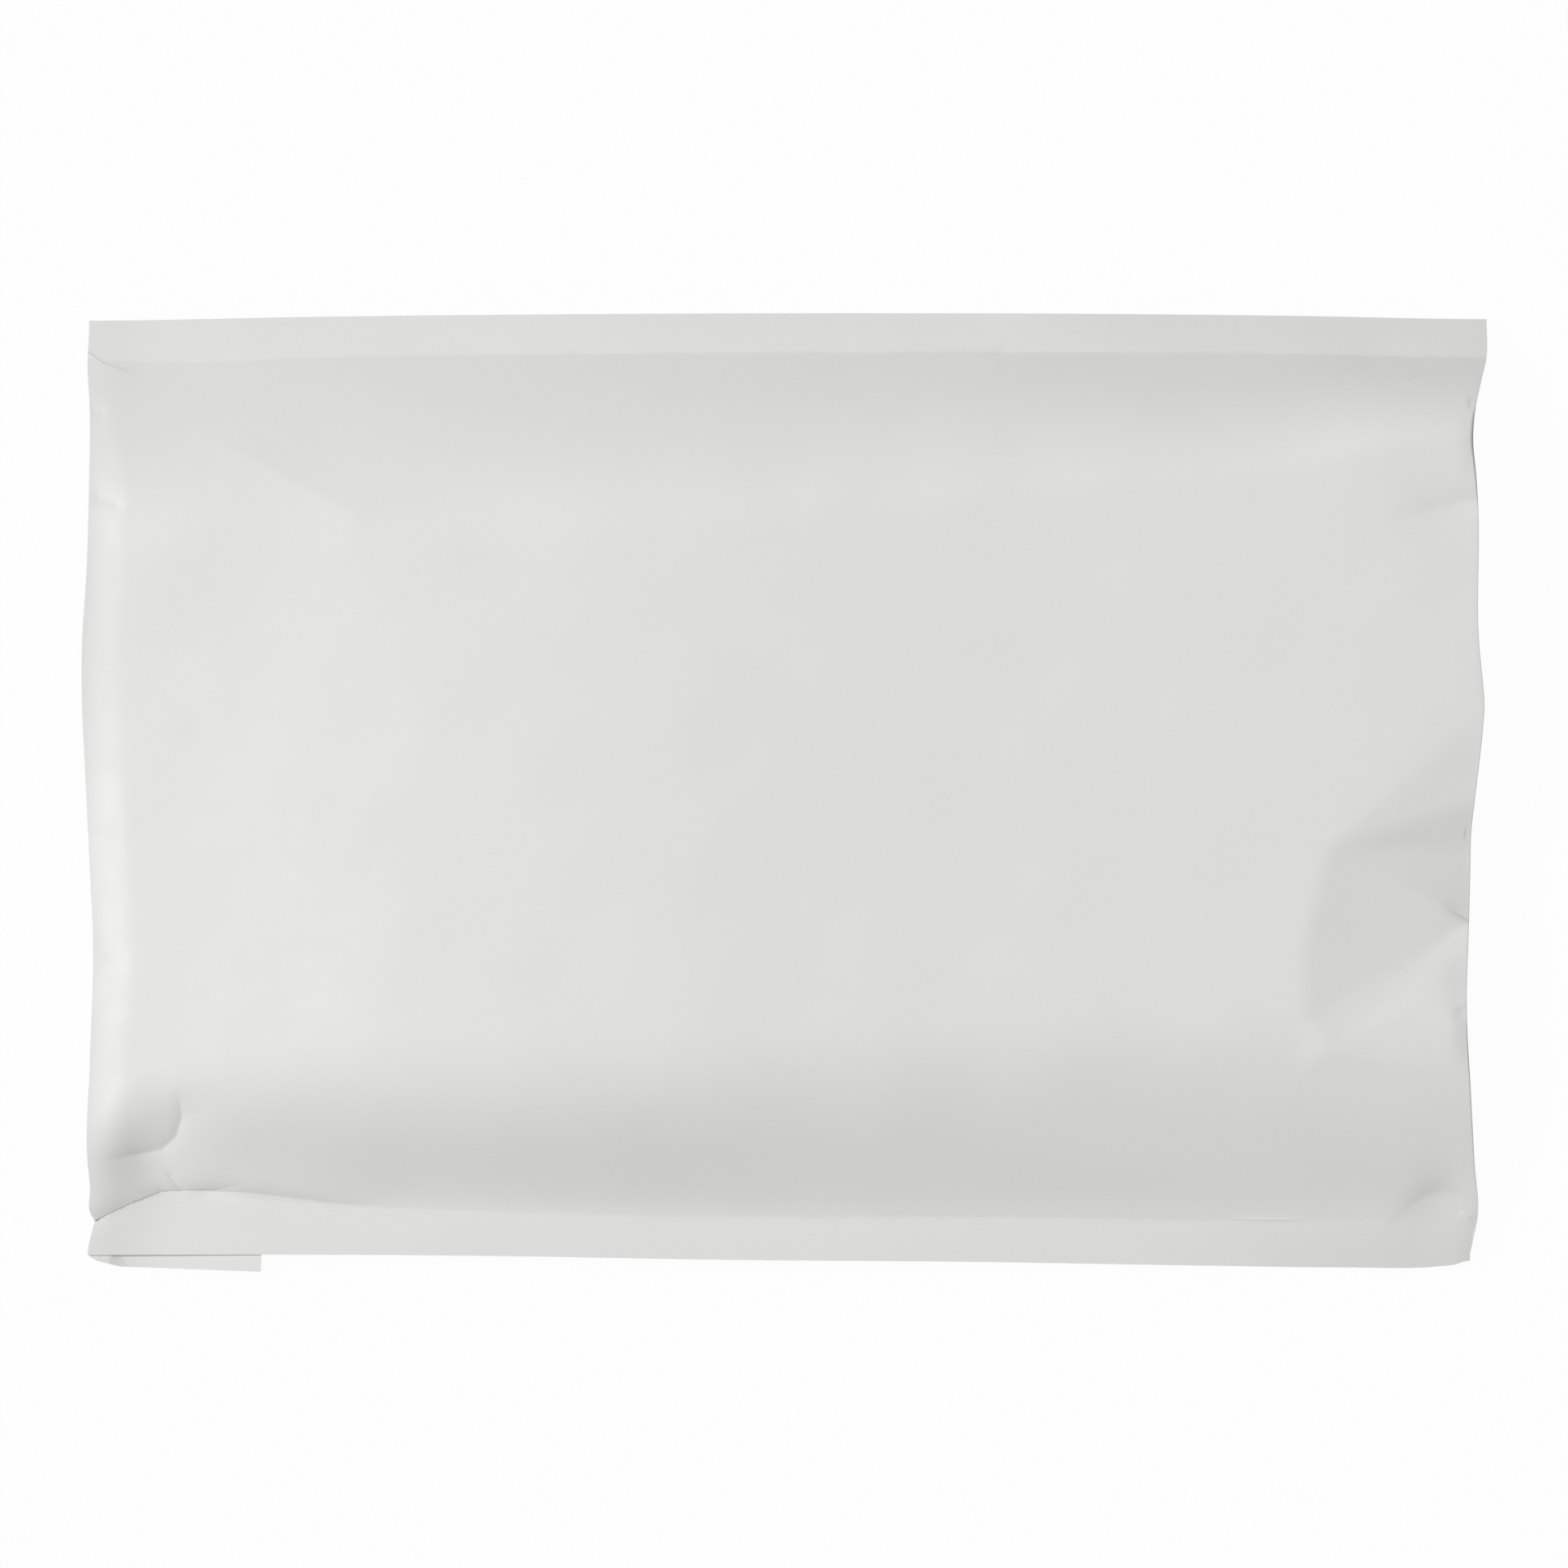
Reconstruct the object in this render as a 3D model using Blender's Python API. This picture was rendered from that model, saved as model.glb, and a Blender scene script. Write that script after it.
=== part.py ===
"""A padded envelope, filled and sealed, lying on its back with its plain front up.

Both long sides end in a glued seam, a thin flat band at about half the height of the
filled body. The right end is the envelope's bottom fold. At the left end the closure
flap turns round the mouth and is glued to the back, a little askew, so that its lower
end shows past the seam. Nothing can be seen inside, so the whole pack is one solid.

Lengths are in metres. X runs along the envelope, away from the flap, Y across it and
Z up, and the table is z = 0. Until the last step x and y are measured from the lower
left corner of the flat envelope.
"""
import bpy
import numpy as np

LENGTH = 0.350
WIDTH = 0.237
SEAM_THICKNESS = 0.0016
FLAP_THICKNESS = 0.0006
FLAP_GLUE_DEPTH = 0.0004
FLAP_SET_BACK = 0.0004

# Height of the front over the table along the middle, from the mouth to the bottom fold
FRONT_HEIGHT = (
    (0.0, 0.0098),
    (0.003, 0.0116),
    (0.012, 0.0150),
    (0.040, 0.0190),
    (0.080, 0.0225),
    (0.130, 0.0255),
    (0.175, 0.0272),
    (LENGTH - 0.120, 0.0280),
    (LENGTH - 0.050, 0.0272),
    (LENGTH - 0.015, 0.0255),
    (LENGTH, 0.0238),
)
# Height of the seams' middle plane along the envelope
SEAM_HEIGHT = (
    (0.0, 0.0078),
    (0.045, 0.0086),
    (0.130, 0.0108),
    (LENGTH - 0.060, 0.0110),
    (LENGTH - 0.020, 0.0100),
    (LENGTH, 0.0082),
)
# The back lies flat on the table and lifts only near the two ends
MOUTH_LIFT = 0.0056
MOUTH_LIFT_RUN = 0.092
FOLD_LIFT = 0.0034
FOLD_LIFT_RUN = 0.026

# Seam widths, and how far the body takes to rise beside each seam
LOWER_SEAM_WIDTH = (
    (0.0, 0.0092),
    (0.022, 0.0160),
    (0.070, 0.0146),
    (0.130, 0.0128),
    (LENGTH - 0.030, 0.0118),
    (LENGTH - 0.014, 0.0150),
    (LENGTH, 0.0122),
)
UPPER_SEAM_WIDTH = (
    (0.0, 0.0092),
    (0.014, 0.0120),
    (0.060, 0.0108),
    (LENGTH, 0.0096),
)
LOWER_RISE_RUN = (
    (0.0, 0.028),
    (0.050, 0.037),
    (0.160, 0.052),
    (LENGTH - 0.050, 0.067),
    (LENGTH, 0.060),
)
UPPER_RISE_RUN = (
    (0.0, 0.030),
    (0.060, 0.044),
    (0.170, 0.036),
    (LENGTH, 0.030),
)
# The steepest place of a rise is its run divided by this
LOWER_RISE_BIAS = 3.4
UPPER_RISE_BIAS = 3.0
BACK_RISE_RUN = 0.048
BACK_RISE_BIAS = 3.0

# The folded ends: how far each bulges, and the round along the bottom fold's upper edge
MOUTH_BULGE = 0.0008
FOLD_BULGE = 0.0012
FOLD_EDGE_RADIUS = 0.0025

# Outline: how far each edge lies inside the flat envelope's, at places along it
LOWER_EDGE_INSET = (
    (0.0, 0.0028),
    (0.045, 0.0029),
    (0.100, 0.0026),
    (0.161, 0.0016),
    (LENGTH - 0.128, 0.0011),
    (LENGTH - 0.067, 0.0001),
    (LENGTH - 0.036, -0.0003),
    (LENGTH - 0.012, -0.0001),
    (LENGTH - 0.004, 0.0013),
)
UPPER_EDGE_INSET = (
    (0.0, 0.0008),
    (0.060, -0.0002),
    (0.160, -0.0010),
    (LENGTH - 0.046, -0.0004),
    (LENGTH, 0.0004),
)
MOUTH_EDGE_INSET = (
    (0.003, 0.0009),
    (0.011, 0.0026),
    (0.014, 0.0017),
    (0.026, 0.0009),
    (0.051, 0.0015),
    (0.081, 0.0023),
    (0.099, 0.0015),
    (0.124, 0.0003),
    (WIDTH - 0.095, -0.0005),
    (WIDTH - 0.083, -0.0005),
    (WIDTH - 0.063, 0.0007),
    (WIDTH - 0.042, 0.0013),
    (WIDTH - 0.012, 0.0009),
    (WIDTH - 0.002, 0.0013),
)
FOLD_EDGE_INSET = (
    (0.002, 0.0038),
    (0.006, 0.0031),
    (0.012, 0.0019),
    (0.026, 0.0027),
    (0.044, 0.0037),
    (0.069, 0.0047),
    (0.099, 0.0038),
    (0.118, 0.0025),
    (WIDTH - 0.103, 0.0007),
    (WIDTH - 0.089, 0.0009),
    (WIDTH - 0.083, 0.0015),
    (WIDTH - 0.040, 0.0023),
    (WIDTH - 0.030, 0.0031),
    (WIDTH - 0.024, 0.0027),
    (WIDTH - 0.016, 0.0011),
    (WIDTH - 0.010, -0.0003),
    (WIDTH - 0.002, -0.0004),
)

# The flap glued to the back: its lower end, and its free edge from bottom to top
FLAP_LOWER_END = (
    (0.001, 0.0027),
    (0.003, 0.0014),
    (0.009, -0.0001),
    (0.044, -0.0014),
)
FLAP_WIDTH_LOW = 0.0442
FLAP_WIDTH_HIGH = 0.0530
FLAP_UPPER_INSET = 0.0012
FLAP_UPPER_DROP = 0.0019

# Creased dents in the front, as flat facets: corners given as (x, y, depth), then the
# facets between them by corner number. Outer corners have no depth.
BOTTOM_FOLD_TUCK = (
    (
        (LENGTH - 0.0361, 0.1042, 0.0),
        (LENGTH - 0.0262, 0.1307, 0.0),
        (LENGTH, 0.1400, 0.0),
        (LENGTH, 0.1115, 0.0016),
        (LENGTH, 0.0865, 0.0065),
        (LENGTH - 0.0420, 0.0603, 0.0),
        (LENGTH - 0.0355, 0.0537, 0.0),
        (LENGTH, 0.0648, 0.0022),
        (LENGTH, 0.0465, 0.0),
    ),
    ((0, 1, 3), (1, 2, 3), (0, 3, 4), (0, 4, 5), (4, 5, 6), (4, 6, 7), (6, 7, 8)),
)
UPPER_FOLD_TUCK = (
    (
        (LENGTH - 0.0140, WIDTH - 0.0420, 0.0),
        (LENGTH, WIDTH - 0.0330, 0.0),
        (LENGTH, WIDTH - 0.0462, 0.0020),
        (LENGTH - 0.0080, WIDTH - 0.0500, 0.0),
        (LENGTH, WIDTH - 0.0530, 0.0),
    ),
    ((0, 1, 2), (0, 2, 3), (2, 3, 4)),
)
MOUTH_CORNER_DENT = (
    (
        (0.0223, 0.0443, 0.0),
        (0.0069, 0.0330, 0.0),
        (0.0060, 0.0263, 0.0012),
        (0.0130, 0.0284, 0.0026),
        (0.0192, 0.0289, 0.0028),
        (0.0240, 0.0380, 0.0002),
        (0.0228, 0.0192, 0.0),
        (0.0080, 0.0145, 0.0),
    ),
    (
        (0, 1, 3),
        (1, 2, 3),
        (0, 3, 4),
        (0, 4, 5),
        (5, 4, 6),
        (4, 3, 6),
        (3, 7, 6),
        (2, 7, 3),
    ),
)
CREASED_DENTS = (BOTTOM_FOLD_TUCK, UPPER_FOLD_TUCK, MOUTH_CORNER_DENT)
# Shallow soft dents: x, y, half length, half width, turn in degrees, depth
SOFT_DENTS = (
    (0.066, WIDTH - 0.031, 0.030, 0.013, -28.0, 0.0016),
    (0.052, WIDTH - 0.022, 0.020, 0.009, 8.0, 0.0008),
    (LENGTH - 0.150, 0.060, 0.070, 0.020, 6.0, 0.0008),
)

# Mesh: the grid of each face, how far it crowds towards the edges, and how much of it is
# kept when flat places are thinned out
COLUMNS = 190
ROWS = 150
END_CROWDING = 0.7
WALL_STEPS = 4
FLAP_COLUMNS = 14
FLAP_ROWS = 48
KEPT_SHARE = 0.085
SHARP_DEGREES = 40.0
# An edge's inset depends on the place along it, which the other edges' insets shift
SETTLING_PASSES = 3


def clear_scene():
    for old in list(bpy.data.objects):
        bpy.data.objects.remove(old)


def curve_through(points, at):
    """A smooth curve through (place, value) points, level beyond its two ends."""
    place, value = np.array(points).T
    slope = np.gradient(value, place)
    slope[[0, -1]] = 0.0
    at = np.clip(at, place[0], place[-1])
    left = np.clip(np.searchsorted(place, at) - 1, 0, len(place) - 2)
    run = place[left + 1] - place[left]
    t = (at - place[left]) / run
    return (
        value[left] * (1 - t) ** 2 * (1 + 2 * t)
        + value[left + 1] * t**2 * (3 - 2 * t)
        + slope[left] * run * t * (1 - t) ** 2
        - slope[left + 1] * run * t**2 * (1 - t)
    )


def rise(reach, run, bias):
    """0 at the seam and 1 on the body, level at both, and steepest at run / bias."""
    q = np.clip(reach / run, 0, 1)
    return 1 - (1 - q) ** bias * (1 + bias * q)


def lower_edge(x):
    return curve_through(LOWER_EDGE_INSET, x)


def upper_edge(x):
    return WIDTH - curve_through(UPPER_EDGE_INSET, x)


def mouth_edge(y):
    return curve_through(MOUTH_EDGE_INSET, y)


def fold_edge(y):
    return LENGTH - curve_through(FOLD_EDGE_INSET, y)


def along(x, y):
    """Place between the two ends, 0 at the mouth's edge and LENGTH at the fold's."""
    start = mouth_edge(y)
    return LENGTH * (x - start) / (fold_edge(y) - start)


def seam_reach(x, y):
    """How far x, y lies inside the lower seam and inside the upper one."""
    lower = y - lower_edge(x) - curve_through(LOWER_SEAM_WIDTH, x)
    upper = upper_edge(x) - y - curve_through(UPPER_SEAM_WIDTH, x)
    return lower, upper


def front_fullness(x, y):
    """0 on the seams and 1 on the body, seen from the front."""
    lower, upper = seam_reach(x, y)
    lower_rise = rise(lower, curve_through(LOWER_RISE_RUN, x), LOWER_RISE_BIAS)
    upper_rise = rise(upper, curve_through(UPPER_RISE_RUN, x), UPPER_RISE_BIAS)
    return lower_rise * upper_rise


def back_fullness(x, y):
    """0 on the seams and 1 where the back is full."""
    lower, upper = seam_reach(x, y)
    lower_rise = rise(lower, BACK_RISE_RUN, BACK_RISE_BIAS)
    return lower_rise * rise(upper, BACK_RISE_RUN, BACK_RISE_BIAS)


def facet_depth(x, y, points, facets):
    """Depth of a creased dent at x, y: linear on each facet, and 0 outside them."""
    depth = np.zeros_like(x)
    for corners in facets:
        (ax, ay, a), (bx, by, b), (cx, cy, c) = (points[corner] for corner in corners)
        area = (bx - ax) * (cy - ay) - (cx - ax) * (by - ay)
        share_b = ((x - ax) * (cy - ay) - (cx - ax) * (y - ay)) / area
        share_c = ((bx - ax) * (y - ay) - (x - ax) * (by - ay)) / area
        inside = (share_b >= 0) & (share_c >= 0) & (share_b + share_c <= 1)
        here = a + share_b * (b - a) + share_c * (c - a)
        depth = np.where(inside, here, depth)
    return depth


def soft_depth(x, y, middle_x, middle_y, half_length, half_width, turn, depth):
    """Depth at x, y of a round-bottomed dent, longer along the way it is turned."""
    turn = np.radians(turn)
    lengthways = (x - middle_x) * np.cos(turn) + (y - middle_y) * np.sin(turn)
    sideways = (y - middle_y) * np.cos(turn) - (x - middle_x) * np.sin(turn)
    return depth * np.exp(-((lengthways / half_length) ** 2) - (sideways / half_width) ** 2)


def front_height(x, y):
    s = along(x, y)
    seam = curve_through(SEAM_HEIGHT, s)
    fullness = front_fullness(x, y)
    near_edge = np.clip(1 - (LENGTH - s) / FOLD_EDGE_RADIUS, 0, 1)
    lowered = FOLD_EDGE_RADIUS * (1 - np.sqrt(1 - near_edge**2))
    for points, facets in CREASED_DENTS:
        lowered = lowered + facet_depth(s, y, points, facets)
    for dent in SOFT_DENTS:
        lowered = lowered + soft_depth(s, y, *dent)
    height = seam + (curve_through(FRONT_HEIGHT, s) - seam - lowered) * fullness
    return height + SEAM_THICKNESS / 2


def back_height(x, y):
    s = along(x, y)
    seam = curve_through(SEAM_HEIGHT, s) - SEAM_THICKNESS / 2
    mouth = np.clip(1 - s / MOUTH_LIFT_RUN, 0, 1)
    fold = np.clip(1 - (LENGTH - s) / FOLD_LIFT_RUN, 0, 1)
    middle = MOUTH_LIFT * mouth**2 + FOLD_LIFT * fold**2
    return seam + (middle - seam) * back_fullness(x, y)


def crowded(count):
    """Places from 0 to 1, closer together towards both ends."""
    t = np.linspace(0, 1, count)
    return t - END_CROWDING * np.sin(2 * np.pi * t) / (2 * np.pi)


def body_points():
    """x and y of the grid that both faces share, ROWS by COLUMNS."""
    across, lengthways = np.meshgrid(crowded(ROWS), crowded(COLUMNS), indexing="ij")
    x = LENGTH * lengthways
    for _ in range(SETTLING_PASSES):
        y = lower_edge(x) + across * (upper_edge(x) - lower_edge(x))
        mouth = mouth_edge(y) + MOUTH_BULGE * front_fullness(mouth_edge(y), y)
        fold = fold_edge(y) - FOLD_BULGE * front_fullness(fold_edge(y), y)
        x = mouth + lengthways * (fold - mouth)
    return x, y


def grid_faces(index):
    """Quads of a grid of point numbers, facing up where x runs with the columns."""
    corners = (index[:-1, :-1], index[:-1, 1:], index[1:, 1:], index[1:, :-1])
    return np.stack(corners, axis=-1).reshape(-1, 4)


def ring(index):
    """The point numbers round a grid's rim, counter-clockwise seen from above."""
    return np.concatenate(
        (index[0, :-1], index[:-1, -1], index[-1, :0:-1], index[:0:-1, 0])
    )


def closed_mesh(name, top, bottom, wall_loops):
    """A mesh of two grids of points, an upper and a lower, joined through loops round
    their rims, which are listed from the lower to the upper."""
    shape = top.shape[:2]
    count = shape[0] * shape[1]
    upper = np.arange(count).reshape(shape)
    lower = upper + count
    points = [top.reshape(-1, 3), bottom.reshape(-1, 3)]
    faces = [grid_faces(upper), grid_faces(lower)[:, ::-1]]
    below = ring(lower)
    first = 2 * count
    loops = []
    for loop in wall_loops:
        points.append(loop)
        loops.append(np.arange(first, first + len(loop)))
        first += len(loop)
    for above in loops + [ring(upper)]:
        quads = (below, np.roll(below, -1), np.roll(above, -1), above)
        faces.append(np.stack(quads, axis=-1))
        below = above
    mesh = bpy.data.meshes.new(name)
    mesh.from_pydata(np.concatenate(points).tolist(), [], np.concatenate(faces).tolist())
    mesh.validate()
    return mesh


def body_mesh():
    x, y = body_points()
    top = np.stack((x, y, front_height(x, y)), axis=-1)
    bottom = np.stack((x, y, back_height(x, y)), axis=-1)
    rim = ring(np.arange(x.size).reshape(x.shape))
    rim_top = top.reshape(-1, 3)[rim]
    rim_bottom = bottom.reshape(-1, 3)[rim]
    at_mouth = np.isin(rim, np.arange(x.size).reshape(x.shape)[:, 0])
    at_fold = np.isin(rim, np.arange(x.size).reshape(x.shape)[:, -1])
    fullness = front_fullness(rim_top[:, 0], rim_top[:, 1])
    bulge = fullness * (FOLD_BULGE * at_fold - MOUTH_BULGE * at_mouth)
    loops = []
    for step in range(1, WALL_STEPS):
        share = step / WALL_STEPS
        loop = rim_bottom + share * (rim_top - rim_bottom)
        loop[:, 0] += bulge * np.sin(np.pi * share)
        loops.append(loop)
    return closed_mesh("padded_envelope", top, bottom, loops)


def flap_mesh():
    """The glued flap as a thin plate that follows the back, half sunk into it."""
    upwards, outwards = np.meshgrid(
        np.linspace(0, 1, FLAP_ROWS), np.linspace(0, 1, FLAP_COLUMNS), indexing="ij"
    )
    y = WIDTH * upwards
    for _ in range(SETTLING_PASSES):
        near = mouth_edge(y) + FLAP_SET_BACK
        far = FLAP_WIDTH_LOW + (FLAP_WIDTH_HIGH - FLAP_WIDTH_LOW) * y / WIDTH
        x = near + outwards * (far - near)
        low = np.interp(x, *np.array(FLAP_LOWER_END).T)
        high = WIDTH - FLAP_UPPER_INSET - FLAP_UPPER_DROP * x / FLAP_WIDTH_HIGH
        y = low + upwards * (high - low)
    back = back_height(x, y)
    top = np.stack((x, y, back + FLAP_GLUE_DEPTH), axis=-1)
    bottom = np.stack((x, y, back - FLAP_THICKNESS), axis=-1)
    return closed_mesh("flap", top, bottom, [])


def white_paper():
    material = bpy.data.materials.new("white_paper")
    material.use_nodes = True
    shader = material.node_tree.nodes["Principled BSDF"]
    shader.inputs["Base Color"].default_value = (0.80, 0.80, 0.79, 1)
    shader.inputs["Roughness"].default_value = 0.55
    shader.inputs["Metallic"].default_value = 0.0
    return material


def centre(meshes):
    """Moves the meshes together so that their shared box is centred on x = 0 and y = 0."""
    points = [np.array([vertex.co for vertex in mesh.vertices]) for mesh in meshes]
    every = np.concatenate(points)
    middle = (every.min(axis=0) + every.max(axis=0)) / 2
    middle[2] = 0.0
    for mesh, own in zip(meshes, points):
        mesh.vertices.foreach_set("co", (own - middle).ravel())
        mesh.update()


def add_object(mesh):
    obj = bpy.data.objects.new(mesh.name, mesh)
    bpy.context.collection.objects.link(obj)
    return obj


def main():
    clear_scene()
    meshes = [body_mesh(), flap_mesh()]
    centre(meshes)
    envelope, flap = (add_object(mesh) for mesh in meshes)
    envelope.data.materials.append(white_paper())
    flap.hide_render = True
    flap.display_type = "WIRE"
    thin_out = envelope.modifiers.new("thin_out", "DECIMATE")
    thin_out.ratio = KEPT_SHARE
    join_flap = envelope.modifiers.new("join_flap", "BOOLEAN")
    join_flap.operation = "UNION"
    join_flap.object = flap
    envelope.data.shade_smooth()
    envelope.data.set_sharp_from_angle(angle=np.radians(SHARP_DEGREES))


main()
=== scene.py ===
"""The padded envelope's looks: creased white paper, lit softly and seen from above.

The form is the frame's: a puffed body between two flat seams, a mouth with its flap
folded round to the back, and a bottom fold with two tucks. It is made again here at a
finer step, with the small creases of the paper. Lengths are in metres. Until the meshes
are centred, x and y are measured from the lower left corner of the flat envelope.
"""

import bpy
import numpy as np
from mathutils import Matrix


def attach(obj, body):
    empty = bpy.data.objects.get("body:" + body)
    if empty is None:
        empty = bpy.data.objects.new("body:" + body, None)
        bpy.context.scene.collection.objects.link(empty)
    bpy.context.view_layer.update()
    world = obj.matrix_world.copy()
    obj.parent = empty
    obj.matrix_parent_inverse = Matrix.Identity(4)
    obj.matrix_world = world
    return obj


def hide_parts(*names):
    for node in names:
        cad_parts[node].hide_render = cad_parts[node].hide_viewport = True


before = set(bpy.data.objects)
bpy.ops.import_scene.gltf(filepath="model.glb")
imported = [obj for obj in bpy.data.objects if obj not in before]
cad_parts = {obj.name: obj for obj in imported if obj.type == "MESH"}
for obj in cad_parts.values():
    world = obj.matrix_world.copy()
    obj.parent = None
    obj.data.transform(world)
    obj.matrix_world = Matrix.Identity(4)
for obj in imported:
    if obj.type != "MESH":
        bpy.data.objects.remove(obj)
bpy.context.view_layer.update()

LENGTH = 0.350
WIDTH = 0.237
SEAM_THICKNESS = 0.0012
FLAP_THICKNESS = 0.0005
FLAP_GAP = 0.0001
FLAP_SET_BACK = 0.0003

# Height of the front over the table along the middle, from the mouth to the bottom fold
FRONT_HEIGHT = (
    (0.0, 0.0154),
    (0.010, 0.0165),
    (0.040, 0.0200),
    (0.075, 0.0241),
    (0.110, 0.0267),
    (0.150, 0.0284),
    (0.180, 0.0287),
    (LENGTH - 0.120, 0.0288),
    (LENGTH - 0.050, 0.0288),
    (LENGTH - 0.022, 0.0286),
    (LENGTH + 0.015, 0.0277),
)
# Beside the mouth's fold a flat strip of the front slopes down more steeply: its width
# and its slope across the envelope, and over how far its inner edge is rounded
STRIP_WIDTH = (
    (0.010, 0.0038),
    (0.028, 0.0050),
    (0.045, 0.0078),
    (0.090, 0.0088),
    (0.180, 0.0085),
    (0.205, 0.0062),
    (0.224, 0.0036),
)
STRIP_SLOPE = (
    (0.006, 0.02),
    (0.014, 0.10),
    (0.026, 0.13),
    (0.045, 0.09),
    (0.073, 0.095),
    (0.090, 0.110),
    (0.103, 0.110),
    (0.125, 0.080),
    (0.144, 0.045),
    (0.178, 0.035),
    (0.195, 0.070),
    (0.215, 0.080),
    (0.229, 0.0),
)
STRIP_ROUND = 0.0011
# Height of the seams' middle plane along the envelope
SEAM_HEIGHT = (
    (0.0, 0.0076),
    (0.012, 0.0075),
    (0.045, 0.0081),
    (0.130, 0.0097),
    (LENGTH - 0.090, 0.0098),
    (LENGTH - 0.050, 0.0094),
    (LENGTH - 0.020, 0.0089),
    (LENGTH + 0.010, 0.0092),
)
# How much higher the upper seam's middle plane lies than the lower one's
UPPER_SEAM_RAISE = ((LENGTH - 0.090, 0.0), (LENGTH - 0.030, 0.0020), (LENGTH, 0.0034))
# How steeply each seam droops towards its own edge
UPPER_SEAM_DROOP = (
    (0.0, 0.08),
    (0.080, 0.20),
    (0.141, 0.26),
    (0.175, 0.33),
    (0.212, 0.38),
    (0.243, 0.40),
    (LENGTH - 0.077, 0.58),
    (LENGTH - 0.030, 0.70),
    (LENGTH, 0.82),
)
LOWER_SEAM_DROOP = (
    (0.0, 0.08),
    (0.030, 0.05),
    (0.120, 0.12),
    (LENGTH - 0.110, 0.15),
    (LENGTH - 0.060, 0.20),
    (LENGTH, 0.38),
)
# The back lies flat on the table and lifts only near the two ends
MOUTH_LIFT = 0.0056
MOUTH_LIFT_RUN = 0.092
FOLD_LIFT = 0.0034
FOLD_LIFT_RUN = 0.026

# Seam widths, and how far the body takes to rise beside each seam. At the bottom fold the
# lower seam narrows by what its rounded corner takes off the edge.
LOWER_SEAM_WIDTH = (
    (0.0, 0.0092),
    (0.0183, 0.0160),
    (0.024, 0.0155),
    (0.032, 0.0147),
    (0.040, 0.0141),
    (0.060, 0.0125),
    (0.075, 0.0119),
    (0.111, 0.0110),
    (LENGTH - 0.107, 0.0113),
    (LENGTH - 0.067, 0.0114),
    (LENGTH - 0.036, 0.0118),
    (LENGTH - 0.012, 0.0116),
    (LENGTH - 0.008, 0.0112),
    (LENGTH - 0.004, 0.0102),
)
UPPER_SEAM_WIDTH = (
    (0.0, 0.0092),
    (0.014, 0.0104),
    (0.060, 0.0102),
    (LENGTH, 0.0096),
)
LOWER_RISE_RUN = (
    (0.0, 0.030),
    (0.030, 0.036),
    (0.060, 0.043),
    (0.110, 0.046),
    (0.175, 0.050),
    (0.243, 0.053),
    (0.273, 0.056),
    (LENGTH - 0.046, 0.057),
    (LENGTH, 0.056),
)
UPPER_RISE_RUN = (
    (0.0, 0.050),
    (0.020, 0.050),
    (0.060, 0.052),
    (0.110, 0.050),
    (0.175, 0.045),
    (0.243, 0.037),
    (LENGTH - 0.046, 0.031),
    (LENGTH - 0.020, 0.024),
    (LENGTH, 0.022),
)
# How steep a rise is over its run, from the seam to the body; along the envelope the
# lower rise changes from the first shape to the one by the fold
LOWER_RISE_SLOPES = (
    (0.0, 0.46),
    (0.08, 0.76),
    (0.18, 0.96),
    (0.30, 1.00),
    (0.50, 0.74),
    (0.72, 0.33),
    (0.88, 0.11),
    (1.0, 0.0),
)
LOWER_RISE_SLOPES_BY_FOLD = (
    (0.0, 0.86),
    (0.10, 1.10),
    (0.30, 1.10),
    (0.50, 0.92),
    (0.68, 0.64),
    (0.84, 0.26),
    (1.0, 0.0),
)
LOWER_RISE_CHANGE = ((0.120, 0.0), (0.235, 1.0))
UPPER_RISE_SLOPES = (
    (0.0, 1.00),
    (0.12, 1.00),
    (0.35, 0.80),
    (0.60, 0.50),
    (0.82, 0.20),
    (1.0, 0.0),
)
BACK_RISE_RUN = 0.048
BACK_RISE_SLOPES = ((0.0, 0.0), (0.33, 1.0), (1.0, 0.0))

# The folded ends: how far each bulges, and the round along the bottom fold's upper edge
MOUTH_BULGE = 0.0001
FOLD_BULGE = 0.0001
FOLD_EDGE_RADIUS = (
    (0.050, 0.0005),
    (0.070, 0.0003),
    (0.188, 0.0003),
    (0.199, 0.0007),
    (0.206, 0.0010),
    (0.212, 0.0009),
    (0.2155, 0.0003),
)
# How much deeper than wide that round is
FOLD_EDGE_STEEPNESS = 1.2

# Outline: how far each edge lies inside the flat envelope's, at places along it
LOWER_EDGE_INSET = (
    (0.0, 0.0028),
    (0.045, 0.0029),
    (0.100, 0.0026),
    (0.161, 0.0016),
    (LENGTH - 0.128, 0.0011),
    (LENGTH - 0.067, 0.0001),
    (LENGTH - 0.036, -0.0003),
    (LENGTH - 0.012, -0.0001),
    (LENGTH - 0.008, 0.0003),
    (LENGTH - 0.004, 0.0013),
)
UPPER_EDGE_INSET = (
    (0.0, 0.0008),
    (0.060, -0.0002),
    (0.160, -0.0010),
    (LENGTH - 0.046, -0.0004),
    (LENGTH, 0.0004),
)
MOUTH_EDGE_INSET = (
    (0.003, 0.0009),
    (0.0095, 0.0022),
    (0.0114, 0.0026),
    (0.0128, 0.0018),
    (0.020, 0.0015),
    (0.026, 0.0009),
    (0.051, 0.0015),
    (0.081, 0.0023),
    (0.099, 0.0015),
    (0.124, 0.0003),
    (WIDTH - 0.095, -0.0005),
    (WIDTH - 0.083, -0.0005),
    (WIDTH - 0.063, 0.0007),
    (WIDTH - 0.042, 0.0013),
    (WIDTH - 0.0215, 0.0014),
    (WIDTH - 0.012, 0.0009),
    (WIDTH - 0.002, 0.0013),
)
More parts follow.
